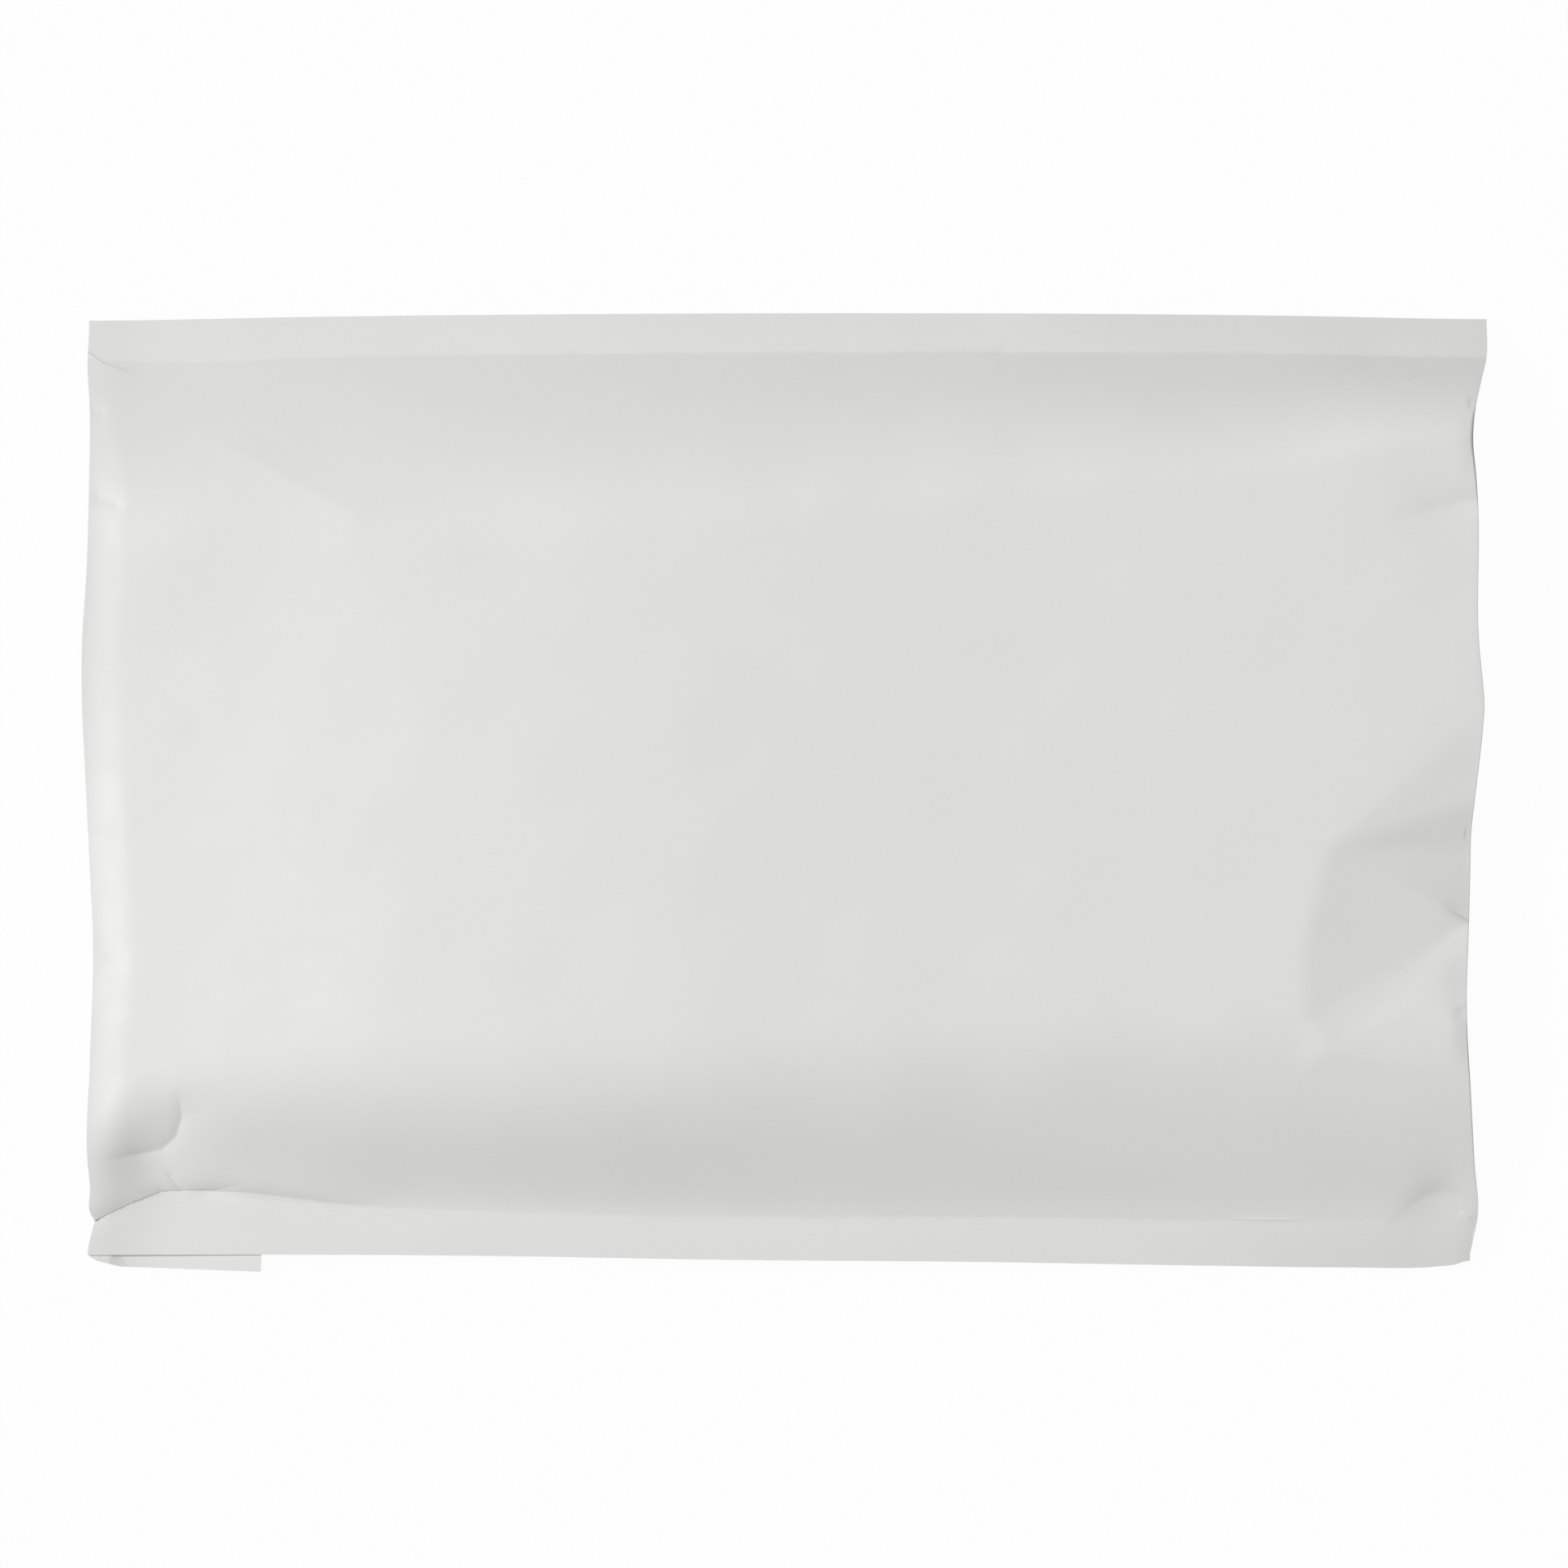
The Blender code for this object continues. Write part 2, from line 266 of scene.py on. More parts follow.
FOLD_EDGE_INSET = (
    (0.002, 0.0038),
    (0.006, 0.0031),
    (0.012, 0.0019),
    (0.026, 0.0027),
    (0.044, 0.0037),
    (0.0635, 0.0047),
    (0.0865, 0.0041),
    (0.099, 0.0038),
    (0.1080, 0.0036),
    (0.118, 0.0025),
    (WIDTH - 0.103, 0.0007),
    (WIDTH - 0.097, 0.0003),
    (WIDTH - 0.089, 0.0009),
    (WIDTH - 0.083, 0.0015),
    (WIDTH - 0.0465, 0.0019),
    (WIDTH - 0.040, 0.0023),
    (WIDTH - 0.030, 0.0031),
    (WIDTH - 0.024, 0.0027),
    (WIDTH - 0.016, 0.0011),
    (WIDTH - 0.010, -0.0003),
    (WIDTH - 0.002, -0.0004),
)

# The flap glued to the back: its lower end, and its free edge from bottom to top
FLAP_LOWER_END = (
    (0.001, 0.0027),
    (0.003, 0.0014),
    (0.009, -0.0001),
    (0.044, -0.0014),
)
FLAP_WIDTH_LOW = 0.0442
FLAP_WIDTH_HIGH = 0.0530
FLAP_UPPER_INSET = 0.0012
FLAP_UPPER_DROP = 0.0019
# Under the lower seam the flap curls round at the mouth and then opens and drops: where,
# over how far, how deep, and how far up the drop goes, by the place across the envelope
CURL_OPENS = ((-0.001, 0.0058), (0.0030, 0.0068))
CURL_RUN = ((-0.001, 0.0070), (0.0012, 0.0036), (0.0028, 0.0018))
CURL_DROP = 0.0009
CURL_REACH = 0.014

# The creased tuck in the bottom fold, as flat facets: corners given as (x, y, depth), then
# the facets between them, then the place from which the creases soften outwards
TUCK_CORNERS = (
    (LENGTH - 0.0361, 0.1042, 0.0),
    (LENGTH, 0.1390, 0.0),
    (LENGTH, 0.1324, 0.0004),
    (LENGTH, 0.1160, 0.0017),
    (LENGTH, 0.1042, 0.0052),
    (LENGTH, 0.0866, 0.0053),
    (LENGTH - 0.0418, 0.0790, 0.0),
    (LENGTH - 0.0408, 0.0612, 0.0),
    (LENGTH - 0.0355, 0.0540, -0.0006),
    (LENGTH - 0.0162, 0.0636, 0.0010),
    (LENGTH, 0.0648, 0.0012),
    (LENGTH, 0.0465, 0.0),
    (LENGTH - 0.0440, 0.0470, 0.0),
)
TUCK_FACETS = (
    (0, 1, 2),
    (0, 2, 3),
    (0, 3, 4),
    (0, 4, 5),
    (0, 5, 6),
    (6, 5, 7),
    (7, 5, 8),
    (8, 5, 9),
    (9, 5, 10),
    (8, 9, 11),
    (9, 10, 11),
    (7, 8, 12),
    (8, 11, 12),
)
TUCK_POINT = (LENGTH, 0.0866)
# The facets end here, a hair inside the fold's edge
TUCK_END = LENGTH - 0.00001
# How far a crease is rounded at its sharpest place, how fast that grows, and its most
CREASE_ROUND = 0.0006
CREASE_ROUND_GROWTH = 0.10
CREASE_ROUND_MOST = 0.0025
# It is rounded by a mean over rings round each place, with this many samples on each
ROUND_RINGS = (0.5, 1.0)
ROUND_SAMPLES = 10

# Shallow soft dents: x, y, half length, half width, depth (a swelling's is negative)
SOFT_DENTS = (
    # the two small hollows beside the lower seam
    (0.0480, 0.0186, 0.0022, 0.0024, 0.0007),
    (0.0562, 0.0188, 0.0026, 0.0024, 0.0004),
    # the grey hollow beside the small crease under the tuck
    (LENGTH + 0.0010, 0.0715, 0.0055, 0.0060, 0.0007),
    # the fold's edge sinks a little below that hollow, and where it is rounded most
    (LENGTH + 0.0010, 0.0565, 0.0032, 0.0075, 0.0007),
    (LENGTH + 0.0010, 0.2060, 0.0030, 0.0090, 0.0005),
    # the upper left quarter rises less steeply from the mouth
    (0.0, 0.1900, 0.0550, 0.0350, -0.0030),
)

# Creases: points along each, depth (a ridge's is negative), the reach of its left and
# right flank seen from its start, and the share of it over which its start and its end
# fade out
CREASES = (
    # the crescent at the lower left corner
    (
        (
            (0.0010, 0.0262),
            (0.0040, 0.0264),
            (0.0080, 0.0271),
            (0.0135, 0.0281),
            (0.0190, 0.0293),
            (0.0226, 0.0324),
            (0.0240, 0.0375),
            (0.0222, 0.0455),
        ),
        0.0012,
        0.0036,
        0.0050,
        0.38,
        0.28,
    ),
    # the dark fold beside it, above the lower seam
    (((0.0236, 0.0186), (0.0300, 0.0188), (0.0420, 0.0214)), 0.0005, 0.0026, 0.0022, 0.4, 0.5),
    # the thin crease between the two
    (((0.0190, 0.0242), (0.0228, 0.0193)), 0.0003, 0.0010, 0.0006, 0.5, 0),
    # short creases from the mouth's edge
    (((0.0020, 0.0805), (0.0058, 0.0760), (0.0098, 0.0720)), 0.0002, 0.0022, 0.0030, 0, 0.6),
    (((0.0014, 0.2136), (0.0046, 0.2130)), 0.0002, 0.0012, 0.0010, 0, 0.5),
    (((0.0024, 0.1918), (0.0062, 0.1905), (0.0100, 0.1892)), 0.0003, 0.0024, 0.0012, 0, 0.5),
    # the blunt corner in the upper left quarter
    (((0.0170, 0.2140), (0.0672, 0.1881)), -0.0004, 0.0100, 0.0100, 0.5, 0),
    # the ridge of the creased tuck, the other tuck, and creases from the bottom fold
    (((LENGTH, 0.0866), (LENGTH - 0.0361, 0.1042)), -0.0010, 0.0080, 0.0090, 0, 1.0),
    (((LENGTH, 0.1912), (LENGTH - 0.0230, 0.1870)), 0.0013, 0.0025, 0.0060, 0, 1.0),
    (((LENGTH, 0.0866), (LENGTH - 0.0080, 0.0904)), 0.0009, 0.0008, 0.0022, 0, 1.0),
    (((LENGTH, 0.0642), (LENGTH - 0.0046, 0.0626)), 0.0004, 0.0014, 0.0010, 0, 0.8),
    (((LENGTH, 0.1082), (LENGTH - 0.0022, 0.1082)), 0.0003, 0.0007, 0.0006, 0, 0.5),
    (((LENGTH, 0.2166), (LENGTH - 0.0024, 0.2150)), 0.0005, 0.0008, 0.0008, 0, 0.5),
    # the lower right corner of the seam hangs a little
    (((LENGTH + 0.0010, -0.0040), (LENGTH + 0.0010, 0.0200)), 0.0012, 0.0050, 0.0050, 0, 0.5),
    # along the lower seam
    (((LENGTH - 0.0050, 0.0136), (LENGTH - 0.0022, 0.0122)), -0.0002, 0.0006, 0.0006, 0.5, 0),
    (((LENGTH - 0.0660, 0.0118), (LENGTH - 0.0400, 0.0116)), -0.0002, 0.0005, 0.0005, 0.4, 0.4),
)
# Arches: soft creases that bow upwards: the middle's x and y, half width, how much lower
# the line lies a half width from its middle, depth (a swelling's is negative), and the
# reach above and below
ARCHES = (
    # a swelling under the crescent
    (0.0110, 0.0205, 0.0075, 0.0, -0.0005, 0.0050, 0.0050),
    # at the lower right corner
    (LENGTH - 0.0085, 0.0182, 0.0085, 0.0036, 0.0012, 0.0034, 0.0120),
)
# How softly an arch's bottom is rounded
ARCH_ROUND = 0.0012
# Lips: points along each with the raised side on the left, height, the reach of the
# raised side, and the share over which its start and its end fade out
LIPS = (
    # the body's overhanging edge at the lower left corner
    (
        (
            (0.0016, 0.0119),
            (0.0179, 0.0187),
            (0.0240, 0.0190),
            (0.0310, 0.0190),
            (0.0420, 0.0213),
        ),
        0.00026,
        0.0018,
        0,
        0.4,
    ),
    # the crease that curls in from the upper left corner
    (((0.0150, 0.2222), (0.0043, 0.2254), (0.0015, 0.2274)), 0.00018, 0.0020, 0.6, 0),
)
# Puffs: points along each with the swelling on the left, height, how far from the line it
# is highest, and the share over which its start and its end fade out
PUFFS = (
    # above the crease at the lower left corner
    (
        (
            (0.0016, 0.0119),
            (0.0179, 0.0187),
            (0.0240, 0.0190),
            (0.0400, 0.0184),
            (0.0620, 0.0158),
            (0.0820, 0.0144),
        ),
        0.0009,
        0.0034,
        0,
        0.4,
    ),
)

# In how many steps a rise's slopes are added up
RISE_STEPS = 201
# The paper's faint waves: height, seed, how many, their spans, and the share on the seams
WAVE_HEIGHT = 0.00006
WAVE_SEED = 4
WAVE_COUNT = 14
WAVE_SPANS = (0.018, 0.060)
WAVE_SHARE_ON_SEAMS = 0.35

COLUMNS = 640
ROWS = 440
FLAP_COLUMNS = 110
FLAP_ROWS = 180
# In how many steps the walls round the rim go up from the back to the front
WALL_STEPS = 6
# Where the grid is finer, along and across: place, how much finer, and over how far
FINE_COLUMNS = (
    (0.0, 2.0, 0.010),
    (0.022, 1.6, 0.016),
    (LENGTH - 0.010, 2.0, 0.014),
    (LENGTH, 4.0, 0.006),
)
FINE_ROWS = (
    (0.0, 1.5, 0.008),
    (0.0125, 4.0, 0.0030),
    (0.018, 3.0, 0.008),
    (0.088, 2.0, 0.009),
    (WIDTH - 0.0097, 7.0, 0.0024),
)
FLAP_FINE_ROWS = ((0.0, 5.0, 0.006),)
FINE_STEPS = 4001
# How many times the grid is laid out again between edges that depend on each other
SETTLING_PASSES = 3
# The share of the facets that is kept when flat places are thinned out
KEPT_SHARE = 0.165
# Edges bent by more than this stay sharp in the shading
SHARP_DEGREES = 42.0

# The photograph's frame: its width in pixels, its scale, and where x = 0 and y = 0 lie
PHOTO_PIXELS = 1932
PIXELS_PER_METRE = 4930.0
MIDDLE_PIXEL_X = 966.5
MIDDLE_PIXEL_Y = 976.5
CAMERA_HEIGHT = 15.0
# The camera sees this many times as far as it stands high
CAMERA_SIGHT = 10.0
SENSOR_WIDTH_MM = 36.0

# The paper: its colours, and its noise as scale and detail. A range picks out the part of a
# noise that counts.
PAPER_COLOUR = (0.803, 0.803, 0.794)
PAPER_SHADE = (0.790, 0.790, 0.780)
CLOUD_NOISE = (38.0, 4.0)
CLOUD_RANGE = (0.35, 0.65)
SPECK_COLOUR = (0.73, 0.73, 0.71)
SPECK_NOISE = (1700.0, 1.0)
SPECK_RANGE = (0.755, 0.80)
PAPER_ROUGHNESS = (0.48, 0.56)
GLOSS_NOISE = (150.0, 5.0)
GLOSS_RANGE = (0.3, 0.7)
# Bump: noise, then strength and distance
COCKLE_NOISE = (120.0, 2.0)
COCKLE_BUMP = (0.05, 0.0004)
FIBRE_NOISE = (1400.0, 3.0)
FIBRE_BUMP = (0.12, 0.0002)

FLOOR_HALF_SIZE = 4.0
# The floor is grey to the light it passes on, and mostly plain white to the camera
FLOOR_GREY = 0.6
FLOOR_GLOW = 0.97
# The one lamp is a wide soft sun from the left, and the world adds a plain low light
KEY_STRENGTH = 2.64
KEY_TILT = 34.0
KEY_TURN = 170.0
KEY_ANGLE = 20.0
WORLD_STRENGTH = 0.15


def curve_through(points, at):
    """A smooth curve through (place, value) points, level beyond its two ends."""
    place, value = np.array(points).T
    slope = np.gradient(value, place)
    slope[[0, -1]] = 0.0
    at = np.clip(at, place[0], place[-1])
    left = np.clip(np.searchsorted(place, at) - 1, 0, len(place) - 2)
    run = place[left + 1] - place[left]
    t = (at - place[left]) / run
    return (
        value[left] * (1 - t) ** 2 * (1 + 2 * t)
        + value[left + 1] * t**2 * (3 - 2 * t)
        + slope[left] * run * t * (1 - t) ** 2
        - slope[left + 1] * run * t**2 * (1 - t)
    )


def rise(reach, run, slopes):
    """0 at the seam and 1 on the body, as steep in between as the slopes say."""
    share = np.linspace(0, 1, RISE_STEPS)
    steep = curve_through(slopes, share)
    height = np.concatenate(([0.0], np.cumsum(steep[1:] + steep[:-1])))
    return np.interp(reach / run, share, height / height[-1])


def lower_edge(x):
    return curve_through(LOWER_EDGE_INSET, x)


def upper_edge(x):
    return WIDTH - curve_through(UPPER_EDGE_INSET, x)


def mouth_edge(y):
    return curve_through(MOUTH_EDGE_INSET, y)


def fold_edge(y):
    return LENGTH - curve_through(FOLD_EDGE_INSET, y)


def along(x, y):
    """Place between the two ends, 0 at the mouth's edge and LENGTH at the fold's."""
    start = mouth_edge(y)
    return LENGTH * (x - start) / (fold_edge(y) - start)


def seam_reach(x, y):
    """How far x, y lies inside the lower seam and inside the upper one."""
    lower = y - lower_edge(x) - curve_through(LOWER_SEAM_WIDTH, x)
    upper = upper_edge(x) - y - curve_through(UPPER_SEAM_WIDTH, x)
    return lower, upper


def front_fullness(x, y):
    """0 on the seams and 1 on the body, seen from the front."""
    lower, upper = seam_reach(x, y)
    run = curve_through(LOWER_RISE_RUN, x)
    change = curve_through(LOWER_RISE_CHANGE, x)
    lower_rise = (1 - change) * rise(lower, run, LOWER_RISE_SLOPES)
    lower_rise = lower_rise + change * rise(lower, run, LOWER_RISE_SLOPES_BY_FOLD)
    upper_rise = rise(upper, curve_through(UPPER_RISE_RUN, x), UPPER_RISE_SLOPES)
    return lower_rise * upper_rise


def back_fullness(x, y):
    """0 on the seams and 1 where the back is full."""
    lower, upper = seam_reach(x, y)
    lower_rise = rise(lower, BACK_RISE_RUN, BACK_RISE_SLOPES)
    return lower_rise * rise(upper, BACK_RISE_RUN, BACK_RISE_SLOPES)


def tuck_depth(x, y):
    """Depth of the creased tuck at x, y: linear on each facet, and 0 outside them."""
    depth = np.zeros_like(x)
    for corners in TUCK_FACETS:
        (ax, ay, a), (bx, by, b), (cx, cy, c) = (TUCK_CORNERS[corner] for corner in corners)
        area = (bx - ax) * (cy - ay) - (cx - ax) * (by - ay)
        share_b = ((x - ax) * (cy - ay) - (cx - ax) * (y - ay)) / area
        share_c = ((bx - ax) * (y - ay) - (x - ax) * (by - ay)) / area
        inside = (share_b >= 0) & (share_c >= 0) & (share_b + share_c <= 1)
        here = a + share_b * (b - a) + share_c * (c - a)
        depth = np.where(inside, here, depth)
    return depth


def rounded_tuck_depth(x, y):
    """The same with its creases rounded, more so further from the tuck's point."""
    away = np.hypot(x - TUCK_POINT[0], y - TUCK_POINT[1])
    radius = np.clip(CREASE_ROUND + CREASE_ROUND_GROWTH * away, 0, CREASE_ROUND_MOST)
    total = tuck_depth(np.minimum(x, TUCK_END), y)
    for ring_share in ROUND_RINGS:
        for turn in np.arange(ROUND_SAMPLES) * 2 * np.pi / ROUND_SAMPLES:
            reach = radius * ring_share
            aside = np.minimum(x + reach * np.cos(turn), TUCK_END)
            total = total + tuck_depth(aside, y + reach * np.sin(turn))
    return total / (len(ROUND_RINGS) * ROUND_SAMPLES + 1)


def soft_depth(x, y, middle_x, middle_y, half_length, half_width, depth):
    """Depth at x, y of a round-bottomed dent."""
    lengthways = (x - middle_x) / half_length
    sideways = (y - middle_y) / half_width
    return depth * np.exp(-(lengthways**2) - sideways**2)


def beside_line(x, y, points):
    """How far x, y lies to the left (or right, if negative) of a bent line, and where
    along it, from 0 to 1."""
    lengths = [np.hypot(bx - ax, by - ay) for (ax, ay), (bx, by) in zip(points, points[1:])]
    nearest = np.full_like(x, np.inf)
    aside = np.zeros_like(x)
    place = np.zeros_like(x)
    done = 0.0
    for (ax, ay), (bx, by), length in zip(points, points[1:], lengths):
        way_x, way_y = (bx - ax) / length, (by - ay) / length
        reach = np.clip((x - ax) * way_x + (y - ay) * way_y, 0, length)
        off_x, off_y = x - ax - reach * way_x, y - ay - reach * way_y
        distance = np.hypot(off_x, off_y)
        side = way_x * off_y - way_y * off_x
        closer = distance < nearest
        aside = np.where(closer, np.where(side > 0, distance, -distance), aside)
        place = np.where(closer, (done + reach) / sum(lengths), place)
        nearest = np.where(closer, distance, nearest)
        done += length
    return aside, place


def faded(place, start_fade, end_fade):
    """1 along a line, going to 0 at its ends over the two given shares of it."""
    start = np.clip(place / start_fade, 0, 1) if start_fade else 1.0
    end = np.clip((1 - place) / end_fade, 0, 1) if end_fade else 1.0
    return start**2 * (3 - 2 * start) * end**2 * (3 - 2 * end)


def crease_depth(x, y, points, depth, left_reach, right_reach, start_fade, end_fade):
    """Depth of a crease along a bent line, with a sharp bottom and a flank on each side."""
    aside, place = beside_line(x, y, points)
    flank = np.where(aside > 0, left_reach, right_reach)
    return depth * faded(place, start_fade, end_fade) * np.exp(-np.abs(aside) / flank)


def arch_depth(x, y, middle_x, middle_y, half_width, drop, depth, above_reach, below_reach):
    """Depth of a soft crease bowed upwards, which fades out towards its two ends."""
    across = (x - middle_x) / half_width
    above = y - middle_y + drop * across**2
    soft = np.sqrt(above**2 + ARCH_ROUND**2) - ARCH_ROUND
    return depth * np.exp(-(across**2) - soft / np.where(above > 0, above_reach, below_reach))


def lip_height(x, y, points, height, reach, start_fade, end_fade):
    """A lip along a bent line: raised on its left, dropping off at once on its right."""
    aside, place = beside_line(x, y, points)
    raised = np.where(aside > 0, np.exp(-np.abs(aside) / reach), 0.0)
    return height * faded(place, start_fade, end_fade) * raised


def puff_height(x, y, points, height, reach, start_fade, end_fade):
    """A long swelling beside a bent line, steepest at the line."""
    aside, place = beside_line(x, y, points)
    share = np.clip(aside / reach, 0, None)
    return height * faded(place, start_fade, end_fade) * share * np.exp(1 - share)


def waves(x, y):
    """A sum of gentle waves in every direction, about -1 to 1."""
    draw = np.random.default_rng(WAVE_SEED)
    total = np.zeros_like(x)
    for _ in range(WAVE_COUNT):
        heading = draw.uniform(0, np.pi)
        span = draw.uniform(*WAVE_SPANS)
        shift = draw.uniform(0, 2 * np.pi)
        total += np.sin(2 * np.pi * (x * np.cos(heading) + y * np.sin(heading)) / span + shift)
    return total / np.sqrt(WAVE_COUNT)


def seam_height(x, y):
    """Height of the seams' middle plane, carried on evenly under the body."""
    s = along(x, y)
    lower, upper = seam_reach(x, y)
    droop = curve_through(LOWER_SEAM_DROOP, s) * np.clip(-lower, 0, None)
    droop = droop + curve_through(UPPER_SEAM_DROOP, s) * np.clip(-upper, 0, None)
    raised = curve_through(UPPER_SEAM_RAISE, s) * np.clip(y / WIDTH, 0, 1)
    return curve_through(SEAM_HEIGHT, s) + raised - droop


def front_height(x, y):
    s = along(x, y)
    seam = seam_height(x, y)
    fullness = front_fullness(x, y)
    radius = np.interp(y, *np.array(FOLD_EDGE_RADIUS).T)
    near_edge = np.clip(1 - (LENGTH - s) / radius, 0, 1)
    lowered = FOLD_EDGE_STEEPNESS * radius * (1 - np.sqrt(1 - near_edge**2))
    into_strip = (curve_through(STRIP_WIDTH, y) - s) / STRIP_ROUND
    strip = curve_through(STRIP_SLOPE, y) * STRIP_ROUND * np.logaddexp(0, into_strip)
    lowered = lowered + rounded_tuck_depth(s, y)
    for dent in SOFT_DENTS:
        lowered = lowered + soft_depth(s, y, *dent)
    height = seam + (curve_through(FRONT_HEIGHT, s) - seam - lowered) * fullness - strip
    for crease in CREASES:
        height = height - crease_depth(s, y, *crease)
    for arch in ARCHES:
        height = height - arch_depth(s, y, *arch)
    for lip in LIPS:
        height = height + lip_height(s, y, *lip)
    for puff in PUFFS:
        height = height + puff_height(s, y, *puff)
    wave_share = WAVE_SHARE_ON_SEAMS + (1 - WAVE_SHARE_ON_SEAMS) * fullness
    height = height + WAVE_HEIGHT * waves(x, y) * wave_share
    return height + SEAM_THICKNESS / 2


def back_height(x, y):
    s = along(x, y)
    seam = seam_height(x, y) - SEAM_THICKNESS / 2
    mouth = np.clip(1 - s / MOUTH_LIFT_RUN, 0, 1)
    fold = np.clip(1 - (LENGTH - s) / FOLD_LIFT_RUN, 0, 1)
    middle = MOUTH_LIFT * mouth**2 + FOLD_LIFT * fold**2
    return seam + (middle - seam) * back_fullness(x, y)


def spread(count, length, fine):
    """Places from 0 to 1 along a length, closer together at its fine places."""
    place = np.linspace(0, 1, FINE_STEPS)
    density = np.ones(FINE_STEPS)
    for middle, finer, reach in fine:
        density += finer * np.exp(-(((place * length - middle) / reach) ** 2))
    counted = np.concatenate(([0.0], np.cumsum(density[1:] + density[:-1])))
    return np.interp(np.linspace(0, 1, count), counted / counted[-1], place)


def body_points():
    """x and y of the grid that both faces share, ROWS by COLUMNS."""
    share = 1.0
    rows, columns = round(ROWS * share), round(COLUMNS * share)
    across, lengthways = np.meshgrid(
        spread(rows, WIDTH, FINE_ROWS), spread(columns, LENGTH, FINE_COLUMNS), indexing="ij"
    )
    x = LENGTH * lengthways
    for _ in range(SETTLING_PASSES):
        y = lower_edge(x) + across * (upper_edge(x) - lower_edge(x))
        mouth = mouth_edge(y) + MOUTH_BULGE * front_fullness(mouth_edge(y), y)
        fold = fold_edge(y) - FOLD_BULGE * front_fullness(fold_edge(y), y)
        x = mouth + lengthways * (fold - mouth)
    return x, y


def grid_faces(index):
    """Quads of a grid of point numbers, facing up where x runs with the columns."""
    corners = (index[:-1, :-1], index[:-1, 1:], index[1:, 1:], index[1:, :-1])
    return np.stack(corners, axis=-1).reshape(-1, 4)


def ring(index):
    """The point numbers round a grid's rim, counter-clockwise seen from above."""
    return np.concatenate(
        (index[0, :-1], index[:-1, -1], index[-1, :0:-1], index[:0:-1, 0])
    )


def closed_mesh(name, top, bottom, wall_loops):
    """A mesh of two grids of points, an upper and a lower, joined through loops round
    their rims, which are listed from the lower to the upper."""
    shape = top.shape[:2]
    count = shape[0] * shape[1]
    upper = np.arange(count).reshape(shape)
    lower = upper + count
    points = [top.reshape(-1, 3), bottom.reshape(-1, 3)]
    faces = [grid_faces(upper), grid_faces(lower)[:, ::-1]]
    below = ring(lower)
    first = 2 * count
    loops = []
    for loop in wall_loops:
        points.append(loop)
        loops.append(np.arange(first, first + len(loop)))
        first += len(loop)
    for above in loops + [ring(upper)]:
        quads = (below, np.roll(below, -1), np.roll(above, -1), above)
        faces.append(np.stack(quads, axis=-1))
        below = above
    points, faces = np.concatenate(points), np.concatenate(faces)
    mesh = bpy.data.meshes.new(name)
    mesh.vertices.add(len(points))
    mesh.vertices.foreach_set("co", points.ravel())
    mesh.loops.add(faces.size)
    mesh.loops.foreach_set("vertex_index", faces.ravel().astype(np.int32))
    mesh.polygons.add(len(faces))
    mesh.polygons.foreach_set("loop_start", np.arange(0, faces.size, 4, dtype=np.int32))
    mesh.update(calc_edges=True)
    mesh.validate()
    return mesh


def body_mesh():
    x, y = body_points()
    top = np.stack((x, y, front_height(x, y)), axis=-1)
    bottom = np.stack((x, y, back_height(x, y)), axis=-1)
    index = np.arange(x.size).reshape(x.shape)
    rim = ring(index)
    rim_top = top.reshape(-1, 3)[rim]
    rim_bottom = bottom.reshape(-1, 3)[rim]
    at_mouth = np.isin(rim, index[:, 0])
    at_fold = np.isin(rim, index[:, -1])
    fullness = front_fullness(rim_top[:, 0], rim_top[:, 1])
    bulge = fullness * (FOLD_BULGE * at_fold - MOUTH_BULGE * at_mouth)
    loops = []
    for step in range(1, WALL_STEPS):
        share = step / WALL_STEPS
        loop = rim_bottom + share * (rim_top - rim_bottom)
        loop[:, 0] += bulge * np.sin(np.pi * share)
        loops.append(loop)
    return closed_mesh("envelope_body", top, bottom, loops)


def flap_mesh():
    """The glued flap as a thin plate that follows the back."""
    upwards, outwards = np.meshgrid(
        spread(FLAP_ROWS, WIDTH, FLAP_FINE_ROWS), np.linspace(0, 1, FLAP_COLUMNS), indexing="ij"
    )
    y = WIDTH * upwards
    for _ in range(SETTLING_PASSES):
        near = mouth_edge(y) + FLAP_SET_BACK
        far = FLAP_WIDTH_LOW + (FLAP_WIDTH_HIGH - FLAP_WIDTH_LOW) * y / WIDTH
        x = near + outwards * (far - near)
        low = np.interp(x, *np.array(FLAP_LOWER_END).T)
        high = WIDTH - FLAP_UPPER_INSET - FLAP_UPPER_DROP * x / FLAP_WIDTH_HIGH
        y = low + upwards * (high - low)
    opens = np.interp(y, *np.array(CURL_OPENS).T)
    run = np.interp(y, *np.array(CURL_RUN).T)
    opened = np.clip((x - opens) / run, 0, 1) * np.clip((far - x) / (far - opens), 0, 1)
    height = back_height(x, y) - FLAP_GAP
    height = height - CURL_DROP * opened * np.clip(1 - y / CURL_REACH, 0, 1)
    top = np.stack((x, y, height), axis=-1)
    bottom = np.stack((x, y, height - FLAP_THICKNESS), axis=-1)
    return closed_mesh("closure_flap", top, bottom, [])


def centre(meshes):
    """Moves the meshes together so that their shared box is centred on x = 0 and y = 0."""
    points = []
    for mesh in meshes:
        own = np.empty(len(mesh.vertices) * 3)
        mesh.vertices.foreach_get("co", own)
        points.append(own.reshape(-1, 3))
    every = np.concatenate(points)
    middle = (every.min(axis=0) + every.max(axis=0)) / 2
    middle[2] = 0.0
    for mesh, own in zip(meshes, points):
        mesh.vertices.foreach_set("co", (own - middle).ravel())
        mesh.update()


def add_object(data):
    """An object of a mesh, lamp or camera, with its name."""
    obj = bpy.data.objects.new(data.name, data)
    bpy.context.scene.collection.objects.link(obj)
    return obj


